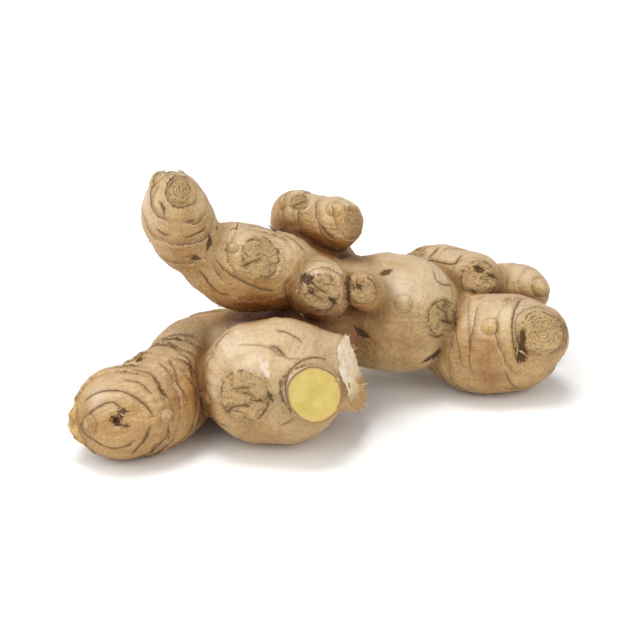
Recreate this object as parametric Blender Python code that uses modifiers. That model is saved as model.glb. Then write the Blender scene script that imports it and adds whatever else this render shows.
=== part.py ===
"""Ginger root: one branched rhizome, grown as a single body.

Swollen lobes run into each other at pinched joints. Growth rings circle each lobe's own
growing point, dry shoots have left round cork scars, small buds sit between them, one branch is cut
off clean and one is snapped off rough. The root lies on its lowest lobes.
All tables are in millimetres, X to the right, Y to the back and Z up.
"""
import itertools
import math

import bmesh
import bpy
import numpy as np
from mathutils import Matrix, Vector

MM = 0.001
NAME = "rhizome"

# Driving dimensions
LOBES = {  # stations (x, y, z, radius) along each lobe's middle
    "left_finger": [(-69.0, -35.6, 16.0, 16.0), (-58.2, -28.0, 16.3, 16.6), (-49.5, -9.0, 16.6, 15.6),
                    (-46.0, 6.5, 15.8, 14.6)],
    "back_segment": [(-47.5, 6.8, 15.6, 14.6), (-42.0, 15.7, 14.8, 14.8), (-30.8, 11.6, 19.0, 14.5),
                     (-16.4, 10.0, 21.5, 14.2), (-0.7, 13.4, 26.8, 15.8), (14.0, 19.0, 27.5, 16.0)],
    "round_body": [(-20.4, -22.3, 21.8, 21.8), (-14.1, -22.9, 22.5, 22.5)],
    "round_neck": [(-24.5, -11.0, 20.5, 17.0), (-33.5, 3.0, 18.6, 13.0)],
    "cut_branch": [(-8.0, -29.0, 23.5, 11.2), (-2.4, -39.5, 26.0, 9.3), (-1.6, -44.0, 27.5, 9.1)],
    "snapped_branch": [(-8.0, -24.0, 25.5, 16.5), (4.0, -22.0, 25.5, 13.8), (13.0, -21.0, 24.5, 13.2)],
    "right_body": [(24.5, 22.0, 28.8, 21.5), (30.0, 22.0, 28.2, 21.5)],
    "scarred_body": [(-36.8, 0.0, 59.3, 12.0), (-26.7, 2.0, 55.4, 15.6), (-16.1, 6.0, 52.4, 14.3),
                     (-5.8, 12.0, 47.0, 10.8), (9.1, 18.0, 39.2, 12.4), (16.0, 20.0, 34.0, 15.0)],
    "knob": [(-50.8, -6.0, 85.0, 9.9), (-50.2, -5.0, 78.5, 12.4), (-46.5, -3.0, 68.7, 11.4),
             (-40.3, -1.0, 61.3, 8.2)],
    "front_stub": [(0.0, -2.0, 47.8, 10.7), (-3.6, 12.0, 46.7, 9.4)],
    "small_stub": [(14.9, -4.0, 49.1, 6.0), (20.3, 12.0, 37.9, 6.5)],
    "back_finger": [(5.6, 23.0, 63.2, 9.7), (-1.5, 25.5, 63.4, 9.4), (-8.0, 28.0, 63.8, 9.8),
                    (-3.5, 28.0, 53.5, 11.6), (1.5, 27.0, 43.0, 12.4), (8.0, 24.0, 34.0, 12.8)],
    "rear_body": [(56.2, 38.0, 33.5, 11.2), (44.4, 42.0, 30.9, 14.3), (31.9, 38.0, 27.7, 12.8)],
    "rear_small": [(80.2, 44.0, 26.3, 6.8), (75.8, 46.0, 26.2, 9.9), (62.0, 43.0, 28.5, 8.5),
                   (52.0, 39.0, 31.0, 9.0)],
    "right_finger": [(78.8, 14.0, 22.6, 12.8), (70.5, 17.4, 18.0, 17.8), (59.0, 17.2, 17.7, 17.7),
                     (50.1, 26.0, 18.2, 15.4), (37.3, 31.0, 22.0, 14.2)],
}
RINGS = {  # growing point on the skin, and how far from it each growth ring lies
    "left_finger": ((-69.8, -50.7, 21.2), (8.5, 13.4, 20.5, 24.5, 31.0, 35.0, 41.0, 46.5, 52.0)),
    "back_segment": ((-56.7, -12.9, 31.4), (19.0, 27.0, 36.0, 46.0)),
    "round_body": ((-17.1, -44.8, 26.9), (18.5, 25.5, 32.0, 38.0)),
    "cut_branch": ((-1.8, -43.2, 28.4), (12.0, 16.0)),
    "snapped_branch": ((22.0, -22.0, 25.0), (14.5, 20.0)),
    "right_body": ((44.5, 6.9, 33.1), (15.0, 24.0, 33.0, 41.0)),
    "scarred_body": ((-20.3, -9.0, 64.4), (12.5, 17.5, 22.5, 28.5)),
    "knob": ((-47.6, -13.3, 90.9), (6.3, 12.5, 19.5, 27.0)),
    "front_stub": ((0.7, -11.8, 52.2), (9.5, 14.0)),
    "small_stub": ((14.8, -9.5, 51.6), (7.0, 10.5)),
    "back_finger": ((12.6, 17.8, 68.1), (3.8, 8.5, 14.5, 20.5, 27.0)),
    "rear_body": ((59.1, 28.4, 38.6), (10.5, 18.0, 26.0, 33.0)),
    "rear_small": ((84.0, 39.3, 30.8), (4.5, 9.5, 15.0, 21.0)),
    "right_finger": ((80.5, 3.2, 29.2), (4.2, 10.5, 17.5, 26.0, 34.0, 38.0, 42.0, 46.0)),
}
CORK_SCARS = [  # place on the skin, radius, depth under the skin and rim height
    ((-26.1, -42.9, 26.4), 8.8, 0.7, 0.5),
    ((-20.3, -9.0, 64.4), 7.2, 0.9, 0.5),
    ((0.7, -11.8, 52.2), 7.4, 1.6, 0.5),
    ((14.8, -9.5, 51.6), 4.6, 0.8, 0.5),
    ((-47.6, -13.3, 90.9), 4.2, 0.5, 0.4),
    ((44.5, 6.9, 33.1), 6.8, 0.7, 0.4),
    ((59.1, 28.4, 38.6), 6.8, 1.1, 0.5),
    ((80.5, 3.2, 29.2), 7.6, 0.5, 0.9),
    ((-7.6, 21.9, 73.0), 3.6, 0.5, 0.3),
    ((12.6, 17.8, 68.1), 3.2, 0.6, 0.5),
    ((36.0, 42.0, 38.0), 6.0, 0.8, 0.5),
    ((-26.0, 16.0, 62.0), 5.5, 0.7, 0.5),
    ((-40.0, 30.0, 17.0), 6.5, 0.8, 0.5),
    ((66.0, 34.0, 14.0), 6.0, 0.7, 0.5),
]
BUDS = [  # place on the skin, radius and height
    ((-79.5, -47.5, 18.3), 3.4, 1.3),
    ((-52.5, -44.9, 20.1), 2.4, 1.4),
    ((-40.4, -32.7, 20.4), 2.6, 1.2),
    ((-30.7, -8.7, 67.7), 2.0, 1.4),
    ((-56.7, -5.6, 93.0), 4.0, 1.2),
    ((30.2, 4.0, 40.0), 3.0, 1.6),
    ((5.4, 18.1, 72.2), 3.2, 1.3),
    ((61.4, 4.7, 30.9), 3.0, 1.0),
    ((82.6, 39.3, 30.8), 3.4, 1.2),
    ((20.0, 44.0, 32.0), 3.2, 1.5),
    ((-62.0, 4.0, 18.0), 3.0, 1.5),
    ((45.0, 56.0, 30.0), 3.0, 1.4),
    ((-30.0, 17.0, 50.0), 2.6, 1.3),
]
PIT = ((-69.8, -50.7, 21.2), 1.9, 2.0)  # a dead shoot's hole: place, radius, depth
CUT = {"at": (-1.8, -43.2, 28.4), "facing": (0.25, -0.90, 0.36), "radius": 15.0}
SNAP = {"at": (11.1, -22.7, 25.4), "facing": (0.95, -0.16, 0.27), "side": 33.0, "roughness": 1.3}
FOOTPRINT_CENTRE = (3.1, 2.9)
SINK = 0.5  # how far the lowest lobes are pressed flat on what the root lies on

BLEND = 1.3  # width of the fillet where lobes join
RING_HEIGHT = 0.72
RING_WIDTH = 1.15
RING_WOBBLE = 1.3
LUMPS = ((17.0, 0.75), (7.0, 0.32))  # size and height of the skin's swells
STATIONS = 6  # steps between two stations of a lobe
VOXEL = 0.9
TRIANGLES = 10500


def smooth_spine(stations):
    """Points and radii on a smooth curve through a lobe's stations, as an array of (x, y, z, r)."""
    rows = np.array(stations, float)
    ends = np.vstack((2 * rows[0] - rows[1], rows, 2 * rows[-1] - rows[-2]))
    curve = []
    for i in range(len(rows) - 1):
        a, b, c, d = ends[i:i + 4]
        for t in np.linspace(0, 1, STATIONS, endpoint=False):
            curve.append(0.5 * (2 * b + (c - a) * t + (2 * a - 5 * b + 4 * c - d) * t ** 2
                                + (3 * b - a - 3 * c + d) * t ** 3))
    curve.append(rows[-1])
    return np.array(curve)


SPINES = {name: smooth_spine(stations) for name, stations in LOBES.items()}


def lobe_distance(points, spine):
    """Signed distance from points to one lobe, and the unit vectors away from its middle."""
    best = np.full(len(points), np.inf)
    away = np.zeros_like(points)
    for a, b in zip(spine[:-1], spine[1:]):
        step = b[:3] - a[:3]
        t = np.clip((points - a[:3]) @ step / (step @ step), 0, 1)
        offset = points - a[:3] - t[:, None] * step
        length = np.linalg.norm(offset, axis=1)
        distance = length - a[3] - t * (b[3] - a[3])
        closer = distance < best
        best[closer] = distance[closer]
        away[closer] = offset[closer] / np.maximum(length[closer], 1e-6)[:, None]
    return best, away


def skin_field(points):
    """Signed distance to the joined lobes, its gradient, and each lobe's share at every point."""
    names = list(SPINES)
    distance = np.full((len(names), len(points)), 99.0)
    away = np.zeros((len(names), len(points), 3))
    for row, name in enumerate(names):
        spine = SPINES[name]
        centre = spine[:, :3].mean(axis=0)
        reach = (np.linalg.norm(spine[:, :3] - centre, axis=1) + spine[:, 3]).max() + 6 * BLEND
        near = np.linalg.norm(points - centre, axis=1) < reach
        distance[row, near], away[row, near] = lobe_distance(points[near], spine)
    lowest = distance.min(axis=0)
    share = np.exp(-(distance - lowest) / BLEND)
    total = share.sum(axis=0)
    share /= total
    return lowest - BLEND * np.log(total), np.einsum("lp,lpk->pk", share, away), share


def settle(points, rounds=5):
    """Moves points onto the skin and returns them with their outward normals and lobe shares."""
    for _ in range(rounds):
        distance, slope, share = skin_field(points)
        steep = np.maximum((slope ** 2).sum(axis=1), 0.25)
        points = points - (distance / steep)[:, None] * slope
    distance, slope, share = skin_field(points)
    return points, slope / np.linalg.norm(slope, axis=1)[:, None], share


def lobe_mesh():
    """A closed mesh round all the lobes: a ball at each step of each spine, melted together."""
    bm = bmesh.new()
    for spine in SPINES.values():
        for x, y, z, radius in spine:
            bmesh.ops.create_icosphere(bm, subdivisions=3, radius=radius * MM,
                                       matrix=Matrix.Translation(Vector((x, y, z)) * MM))
    mesh = bpy.data.meshes.new("balls")
    bm.to_mesh(mesh)
    bm.free()
    balls = bpy.data.objects.new("balls", mesh)
    bpy.context.scene.collection.objects.link(balls)
    melt = balls.modifiers.new("melt", "REMESH")
    melt.mode = "VOXEL"
    melt.voxel_size = VOXEL * MM
    depsgraph = bpy.context.evaluated_depsgraph_get()
    melted = bpy.data.meshes.new_from_object(balls.evaluated_get(depsgraph))
    bpy.data.objects.remove(balls)
    return melted


def noise(points, size, seed):
    """Smooth noise from -1 to 1 whose swells are about size millimetres across."""
    place = points / size + 7.31 * seed
    cell = np.floor(place).astype(np.int64)
    ease = place - cell
    ease = ease * ease * (3 - 2 * ease)
    total = np.zeros(len(points))
    for corner in itertools.product((0, 1), repeat=3):
        x, y, z = (cell + corner).T
        mixed = (x * 73856093) ^ (y * 19349663) ^ (z * 83492791) ^ (seed * 2654435)
        mixed = (mixed * 1103515245 + 12345) & 0x7FFFFFFF
        mixed = ((mixed >> 8) * 1103515245 + 12345) & 0x7FFFFFFF
        weight = np.prod(np.where(corner, ease, 1 - ease), axis=1)
        total += weight * (mixed / 0x3FFFFFFF - 1)
    return total


def hump(distance, width):
    return np.exp(-(distance / width) ** 2)


def ring_relief(points, share):
    """Each ring is the torn edge of a leaf scale: a lip towards the growing point, a groove behind."""
    height = np.zeros(len(points))
    wobble = RING_WOBBLE * noise(points, 11.0, 3)
    fade = 0.7 + 0.3 * noise(points, 8.0, 4)
    for row, name in enumerate(SPINES):
        if name not in RINGS:
            continue
        pole, radii = RINGS[name]
        reach = np.linalg.norm(points - np.array(pole), axis=1) + wobble
        for radius in radii:
            lip = hump(reach - radius, RING_WIDTH)
            groove = hump(reach - radius - 1.7 * RING_WIDTH, RING_WIDTH)
            height += share[row] * fade * RING_HEIGHT * (lip - 0.9 * groove)
    return height


def disc_coordinates(points, normals, place):
    """Height over the skin's tangent plane at a place, and distance from the place along it."""
    centre, upright, _ = settle(np.array([place], float))
    offset = points - centre[0]
    height = offset @ upright[0]
    across = np.linalg.norm(offset - height[:, None] * upright[0], axis=1)
    across[(np.abs(height) > 4.5) | (normals @ upright[0] < 0.35)] = 99.0
    return height, across


def scar_relief(points, normals):
    """Round scars of dried shoots: a flat disc a little under the skin, with a raised rim."""
    rise = np.zeros(len(points))
    for place, radius, depth, rim in CORK_SCARS:
        height, across = disc_coordinates(points, normals, place)
        inside = np.clip((radius - across) / 1.2 + 0.5, 0, 1)
        ripple = 0.18 * np.cos(across * 2.6)
        rise += inside * (ripple - depth - height) + rim * hump(across - radius - 0.9, 1.0)
    return rise


def bud_relief(points, normals):
    rise = np.zeros(len(points))
    for place, radius, tall in BUDS:
        _, across = disc_coordinates(points, normals, place)
        dome = np.sqrt(np.clip(1 - (across / radius) ** 2, 0, 1))
        rise += tall * dome - 0.3 * hump(across - radius - 0.7, 0.8)
    place, radius, depth = PIT
    _, across = disc_coordinates(points, normals, place)
    return rise - depth * hump(across, radius)


def grow_skin(mesh):
    """Moves the mesh's vertices onto the lobes' skin and raises its relief."""
    points = np.empty(len(mesh.vertices) * 3)
    mesh.vertices.foreach_get("co", points)
    points, normals, share = settle(points.reshape(-1, 3) / MM)
    rise = ring_relief(points, share) + scar_relief(points, normals) + bud_relief(points, normals)
    for seed, (size, height) in enumerate(LUMPS):
        rise += height * noise(points, size, seed)
    points += rise[:, None] * normals
    points -= np.array((*FOOTPRINT_CENTRE, SINK))
    mesh.vertices.foreach_set("co", (points * MM).ravel())
    mesh.update()


def place_of(point):
    """A table point in the finished root's frame, in metres."""
    return (Vector(point) - Vector((*FOOTPRINT_CENTRE, SINK))) * MM


def facing_frame(point, facing):
    turn = Vector((0, 0, 1)).rotation_difference(Vector(facing))
    return Matrix.Translation(place_of(point)) @ turn.to_matrix().to_4x4()


def new_object(name, mesh, collection):
    made = bpy.data.objects.new(name, mesh)
    collection.objects.link(made)
    return made


def as_cutter(cutter, material):
    cutter.data.materials.append(material)
    cutter.hide_render = True
    cutter.display_type = "WIRE"
    return cutter


def cut_cutter(collection, material):
    """The knife's waste: a drum whose near face is the clean cut."""
    depth = 14 * MM
    bm = bmesh.new()
    bmesh.ops.create_cone(bm, cap_ends=True, segments=48, radius1=CUT["radius"] * MM,
                          radius2=CUT["radius"] * MM, depth=depth,
                          matrix=Matrix.Translation((0, 0, depth / 2)))
    mesh = bpy.data.meshes.new("knife")
    bm.to_mesh(mesh)
    bm.free()
    cutter = new_object("knife", mesh, collection)
    cutter.matrix_world = facing_frame(CUT["at"], CUT["facing"])
    return as_cutter(cutter, material)


def snap_cutter(collection, material):
    """What broke away: a block whose near face is torn and uneven."""
    bm = bmesh.new()
    bmesh.ops.create_grid(bm, x_segments=18, y_segments=18, size=SNAP["side"] / 2 * MM)
    torn = np.array([v.co for v in bm.verts]) / MM
    heights = SNAP["roughness"] * (noise(torn, 9.0, 7) + 0.5 * noise(torn, 4.0, 8))
    for vertex, height in zip(bm.verts, heights):
        vertex.co.z = height * MM
    grown = bmesh.ops.extrude_face_region(bm, geom=list(bm.faces))
    for vertex in grown["geom"]:
        if isinstance(vertex, bmesh.types.BMVert):
            vertex.co.z = 22 * MM
    bmesh.ops.recalc_face_normals(bm, faces=bm.faces)
    mesh = bpy.data.meshes.new("snapped_off")
    bm.to_mesh(mesh)
    bm.free()
    cutter = new_object("snapped_off", mesh, collection)
    cutter.matrix_world = facing_frame(SNAP["at"], SNAP["facing"])
    return as_cutter(cutter, material)


def floor_cutter(collection, material):
    """Presses the lowest lobes flat where the root lies, at Z = 0."""
    thickness = 10 * MM
    bm = bmesh.new()
    bmesh.ops.create_cube(bm, size=1, matrix=Matrix.Translation((0, 0, -thickness / 2))
                          @ Matrix.Diagonal((0.3, 0.2, thickness, 1)))
    mesh = bpy.data.meshes.new("resting_plane")
    bm.to_mesh(mesh)
    bm.free()
    return as_cutter(new_object("resting_plane", mesh, collection), material)


def plain_material(name, colour, roughness):
    material = bpy.data.materials.new(name)
    material.use_nodes = True
    shader = material.node_tree.nodes["Principled BSDF"]
    shader.inputs["Base Color"].default_value = (*colour, 1)
    shader.inputs["Roughness"].default_value = roughness
    shader.inputs["Metallic"].default_value = 0.0
    return material


def main():
    for old in list(bpy.data.objects):
        bpy.data.objects.remove(old)
    root = bpy.data.collections.new("ginger_root")
    cutters = bpy.data.collections.new("cutters")
    for collection in (root, cutters):
        bpy.context.scene.collection.children.link(collection)
    skin = plain_material("ginger_skin", (0.56, 0.38, 0.22), 0.7)
    flesh = plain_material("ginger_flesh", (0.78, 0.60, 0.17), 0.5)

    mesh = lobe_mesh()
    mesh.name = NAME
    mesh.materials.clear()
    mesh.materials.append(skin)
    grow_skin(mesh)
    rhizome = new_object(NAME, mesh, root)
    thin = rhizome.modifiers.new("fewer_faces", "DECIMATE")
    thin.ratio = TRIANGLES / (2 * len(mesh.polygons))
    for cutter in (cut_cutter(cutters, flesh), snap_cutter(cutters, flesh), floor_cutter(cutters, skin)):
        cut = rhizome.modifiers.new(cutter.name, "BOOLEAN")
        cut.operation = "DIFFERENCE"
        cut.solver = "EXACT"
        cut.material_mode = "TRANSFER"
        cut.object = cutter
    mesh.shade_smooth()
    mesh.set_sharp_from_angle(angle=math.radians(50))


if __name__ == "__main__":
    main()
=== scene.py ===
"""The looks of a ginger root: its whole skin at fine detail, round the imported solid."""
import itertools
import math

import bmesh
import bpy
import numpy as np
from mathutils import Matrix, Vector


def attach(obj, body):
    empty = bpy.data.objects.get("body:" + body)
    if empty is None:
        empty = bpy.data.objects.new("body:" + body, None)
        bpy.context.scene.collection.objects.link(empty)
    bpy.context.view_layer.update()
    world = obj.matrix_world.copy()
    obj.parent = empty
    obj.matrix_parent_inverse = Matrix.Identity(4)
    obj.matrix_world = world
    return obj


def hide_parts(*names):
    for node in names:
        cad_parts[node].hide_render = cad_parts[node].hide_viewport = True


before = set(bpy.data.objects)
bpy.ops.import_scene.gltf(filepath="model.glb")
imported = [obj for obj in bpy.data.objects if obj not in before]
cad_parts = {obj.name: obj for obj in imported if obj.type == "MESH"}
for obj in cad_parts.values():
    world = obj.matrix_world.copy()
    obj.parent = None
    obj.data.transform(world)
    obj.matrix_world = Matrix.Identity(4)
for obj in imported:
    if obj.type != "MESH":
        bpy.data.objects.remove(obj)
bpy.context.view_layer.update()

MM = 0.001
NODE = "rhizome"

# Form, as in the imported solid: millimetres, X to the right, Y to the back, Z up
LOBES = {  # stations (x, y, z, radius) along each lobe's middle
    "left_finger": [(-69.0, -35.6, 16.0, 16.0), (-58.2, -28.0, 16.3, 16.6), (-49.5, -9.0, 16.6, 15.6),
                    (-46.0, 6.5, 15.8, 14.6)],
    "back_segment": [(-47.5, 6.8, 15.6, 14.6), (-42.0, 15.7, 14.8, 14.8), (-30.8, 11.6, 19.0, 14.5),
                     (-16.4, 10.0, 21.5, 14.2), (-0.7, 13.4, 26.8, 15.8), (14.0, 19.0, 27.5, 16.0)],
    "round_body": [(-20.4, -22.3, 21.8, 21.8), (-14.1, -22.9, 22.5, 22.5)],
    "round_neck": [(-24.5, -11.0, 20.5, 17.0), (-33.5, 3.0, 18.6, 13.0)],
    "cut_branch": [(-8.0, -29.0, 23.5, 11.2), (-2.4, -39.5, 26.0, 9.3), (-1.6, -44.0, 27.5, 9.1)],
    "snapped_branch": [(-8.0, -24.0, 25.5, 16.5), (4.0, -22.0, 25.5, 13.8), (13.0, -21.0, 24.5, 13.2)],
    "right_body": [(24.5, 22.0, 28.8, 21.5), (30.0, 22.0, 28.2, 21.5)],
    "scarred_body": [(-36.8, 0.0, 59.3, 12.0), (-26.7, 2.0, 55.4, 15.6), (-16.1, 6.0, 52.4, 14.3),
                     (-5.8, 12.0, 47.0, 10.8), (9.1, 18.0, 39.2, 12.4), (16.0, 20.0, 34.0, 15.0)],
    "knob": [(-50.8, -6.0, 85.0, 9.9), (-50.2, -5.0, 78.5, 12.4), (-46.5, -3.0, 68.7, 11.4),
             (-40.3, -1.0, 61.3, 8.2)],
    "front_stub": [(0.0, -2.0, 47.8, 10.7), (-3.6, 12.0, 46.7, 9.4)],
    "small_stub": [(14.9, -4.0, 49.1, 6.0), (20.3, 12.0, 37.9, 6.5)],
    "back_finger": [(5.6, 23.0, 63.2, 9.7), (-1.5, 25.5, 63.4, 9.4), (-8.0, 28.0, 63.8, 9.8),
                    (-3.5, 28.0, 53.5, 11.6), (1.5, 27.0, 43.0, 12.4), (8.0, 24.0, 34.0, 12.8)],
    "rear_body": [(56.2, 38.0, 33.5, 11.2), (44.4, 42.0, 30.9, 14.3), (31.9, 38.0, 27.7, 12.8)],
    "rear_small": [(80.2, 44.0, 26.3, 6.8), (75.8, 46.0, 26.2, 9.9), (62.0, 43.0, 28.5, 8.5),
                   (52.0, 39.0, 31.0, 9.0)],
    "right_finger": [(78.8, 14.0, 22.6, 12.8), (70.5, 17.4, 18.0, 17.8), (59.0, 17.2, 17.7, 17.7),
                     (50.1, 26.0, 18.2, 15.4), (37.3, 31.0, 22.0, 14.2)],
}
RINGS = {  # growing point on the skin, and how far from it each growth ring lies
    "left_finger": ((-69.8, -50.7, 21.2), (8.5, 13.4, 20.5, 24.5, 31.0, 35.0, 41.0, 46.5, 52.0)),
    "back_segment": ((-56.7, -12.9, 31.4), (19.0, 27.0, 36.0, 46.0)),
    "round_body": ((-17.1, -44.8, 26.9), (18.5, 25.5, 32.0, 38.0)),
    "cut_branch": ((-1.8, -43.2, 28.4), (12.0, 16.0)),
    "snapped_branch": ((22.0, -22.0, 25.0), (14.5, 20.0)),
    "right_body": ((44.5, 6.9, 33.1), (15.0, 24.0, 33.0, 41.0)),
    "scarred_body": ((-20.3, -9.0, 64.4), (12.5, 17.5, 22.5, 28.5)),
    "knob": ((-47.6, -13.3, 90.9), (6.3, 12.5, 19.5, 27.0)),
    "front_stub": ((0.7, -11.8, 52.2), (9.5, 14.0)),
    "small_stub": ((14.8, -9.5, 51.6), (7.0, 10.5)),
    "back_finger": ((12.6, 17.8, 68.1), (3.8, 8.5, 14.5, 20.5, 27.0)),
    "rear_body": ((59.1, 28.4, 38.6), (10.5, 18.0, 26.0, 33.0)),
    "rear_small": ((84.0, 39.3, 30.8), (4.5, 9.5, 15.0, 21.0)),
    "right_finger": ((80.5, 3.2, 29.2), (4.2, 10.5, 17.5, 26.0, 34.0, 38.0, 42.0, 46.0)),
}
CORK_SCARS = [  # place on the skin, radius, depth under the skin, rim height, paleness and how ringed
    ((-26.1, -42.9, 26.4), 8.8, 0.7, 0.5, 0.85, 0.10),
    ((-20.3, -9.0, 64.4), 7.2, 0.9, 0.5, 0.60, 0.12),
    ((0.9, -11.8, 51.4), 6.2, 1.4, 0.7, 0.70, 0.25),
    ((14.8, -9.5, 51.6), 4.6, 0.8, 0.5, 0.60, 0.80),
    ((-47.6, -13.3, 90.9), 4.2, 0.5, 0.4, 0.60, 0.70),
    ((44.5, 6.9, 33.1), 6.6, 0.6, 0.4, 1.00, 0.10),
    ((59.1, 28.4, 38.6), 6.8, 1.1, 0.5, 0.85, 0.10),
    ((80.5, 3.2, 29.2), 7.6, 0.5, 0.9, 1.00, 1.00),
    ((-7.6, 21.9, 73.0), 3.6, 0.5, 0.3, 0.50, 0.30),
    ((12.6, 17.8, 68.1), 3.2, 0.6, 0.5, 0.45, 0.80),
    ((36.0, 42.0, 38.0), 6.0, 0.8, 0.5, 0.50, 0.50),
    ((-26.0, 16.0, 62.0), 5.5, 0.7, 0.5, 0.45, 0.40),
    ((-40.0, 30.0, 17.0), 6.5, 0.8, 0.5, 0.60, 0.60),
    ((66.0, 34.0, 14.0), 6.0, 0.7, 0.5, 0.50, 0.30),
]
BUDS = [  # place on the skin, radius and height
    ((-79.5, -47.5, 18.3), 3.4, 1.3),
    ((-52.5, -44.9, 20.1), 2.4, 1.4),
    ((-40.4, -32.7, 20.4), 2.6, 1.2),
    ((-30.7, -8.7, 67.7), 2.0, 1.4),
    ((-56.7, -5.6, 93.0), 4.0, 1.2),
    ((30.2, 4.0, 40.0), 3.0, 1.6),
    ((5.4, 18.1, 72.2), 3.2, 1.3),
    ((61.4, 4.7, 30.9), 3.0, 1.0),
    ((82.6, 39.3, 30.8), 3.4, 1.2),
    ((20.0, 44.0, 32.0), 3.2, 1.5),
    ((-62.0, 4.0, 18.0), 3.0, 1.5),
    ((45.0, 56.0, 30.0), 3.0, 1.4),
    ((-30.0, 17.0, 50.0), 2.6, 1.3),
]
PIT = ((-69.8, -50.7, 21.2), 1.6, 2.4)  # a dead shoot's hole: place, radius, depth
CUT = {"at": (-1.8, -43.2, 28.4), "facing": (0.25, -0.90, 0.36), "radius": 15.0}
SNAP = {"at": (11.1, -22.7, 25.4), "facing": (0.95, -0.16, 0.27), "side": 33.0, "roughness": 1.3}
FOOTPRINT_CENTRE = (3.1, 2.9)
SINK = 0.5  # how far the lowest lobes are pressed flat on what the root lies on
SHIFT = (*FOOTPRINT_CENTRE, SINK)  # from the tables' origin to the frame's
KNIFE_DEPTH = 14.0
SNAP_DEPTH = 22.0
REST_SLAB = (300.0, 200.0, 10.0)
BLEND = 1.3  # width of the fillet where lobes join
STATIONS = 6  # steps between two stations of a lobe
LUMPS = ((17.0, 0.75), (7.0, 0.32))  # size and height of the skin's swells

# Looks that only this script has
VOXEL = 0.80
RING_WOBBLE = 1.9
RING_RAG = 0.60  # how far a ring's torn edge strays over a few millimetres
RING_LOOKS = {  # height of each lobe's ring steps, and how dark their edges are
    "left_finger": (1.00, 0.70), "back_segment": (0.45, 0.55), "round_body": (0.12, 0.10),
    "cut_branch": (0.30, 0.30), "snapped_branch": (0.25, 0.30), "right_body": (0.12, 0.12),
    "scarred_body": (0.30, 0.45), "knob": (0.45, 0.45), "front_stub": (0.45, 0.60),
    "small_stub": (0.40, 0.60), "back_finger": (0.45, 0.45), "rear_body": (0.35, 0.30),
    "rear_small": (0.45, 0.50), "right_finger": (0.45, 0.42),
}
PLAIN_TIP = {"left_finger": 1.6}  # rings nearer a growing point than this one fade out
END_STRETCH = 0.45  # share of a ring's spacing that the skin outside a lobe's first and last rings takes up
ROUND_LOBES = ("round_body", "right_body")  # fibres run out from these lobes' growing points
LOBE_TINT = {  # from -1, brown and dull, to 1, pale; the back segment's -0.9 is partly painted shade, as it lies under and behind other lobes
    "left_finger": -0.6, "back_segment": -0.9, "round_body": 0.5, "round_neck": -0.2, "right_body": 0.25,
    "scarred_body": -0.2, "knob": 0.1, "front_stub": -0.2, "small_stub": -0.5, "back_finger": -0.25,
    "rear_body": -0.2, "rear_small": 0.3, "right_finger": -0.4,
}
CREVICE_REACH = (2.2, 8.0)  # how far out from the skin open space is looked for
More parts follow.
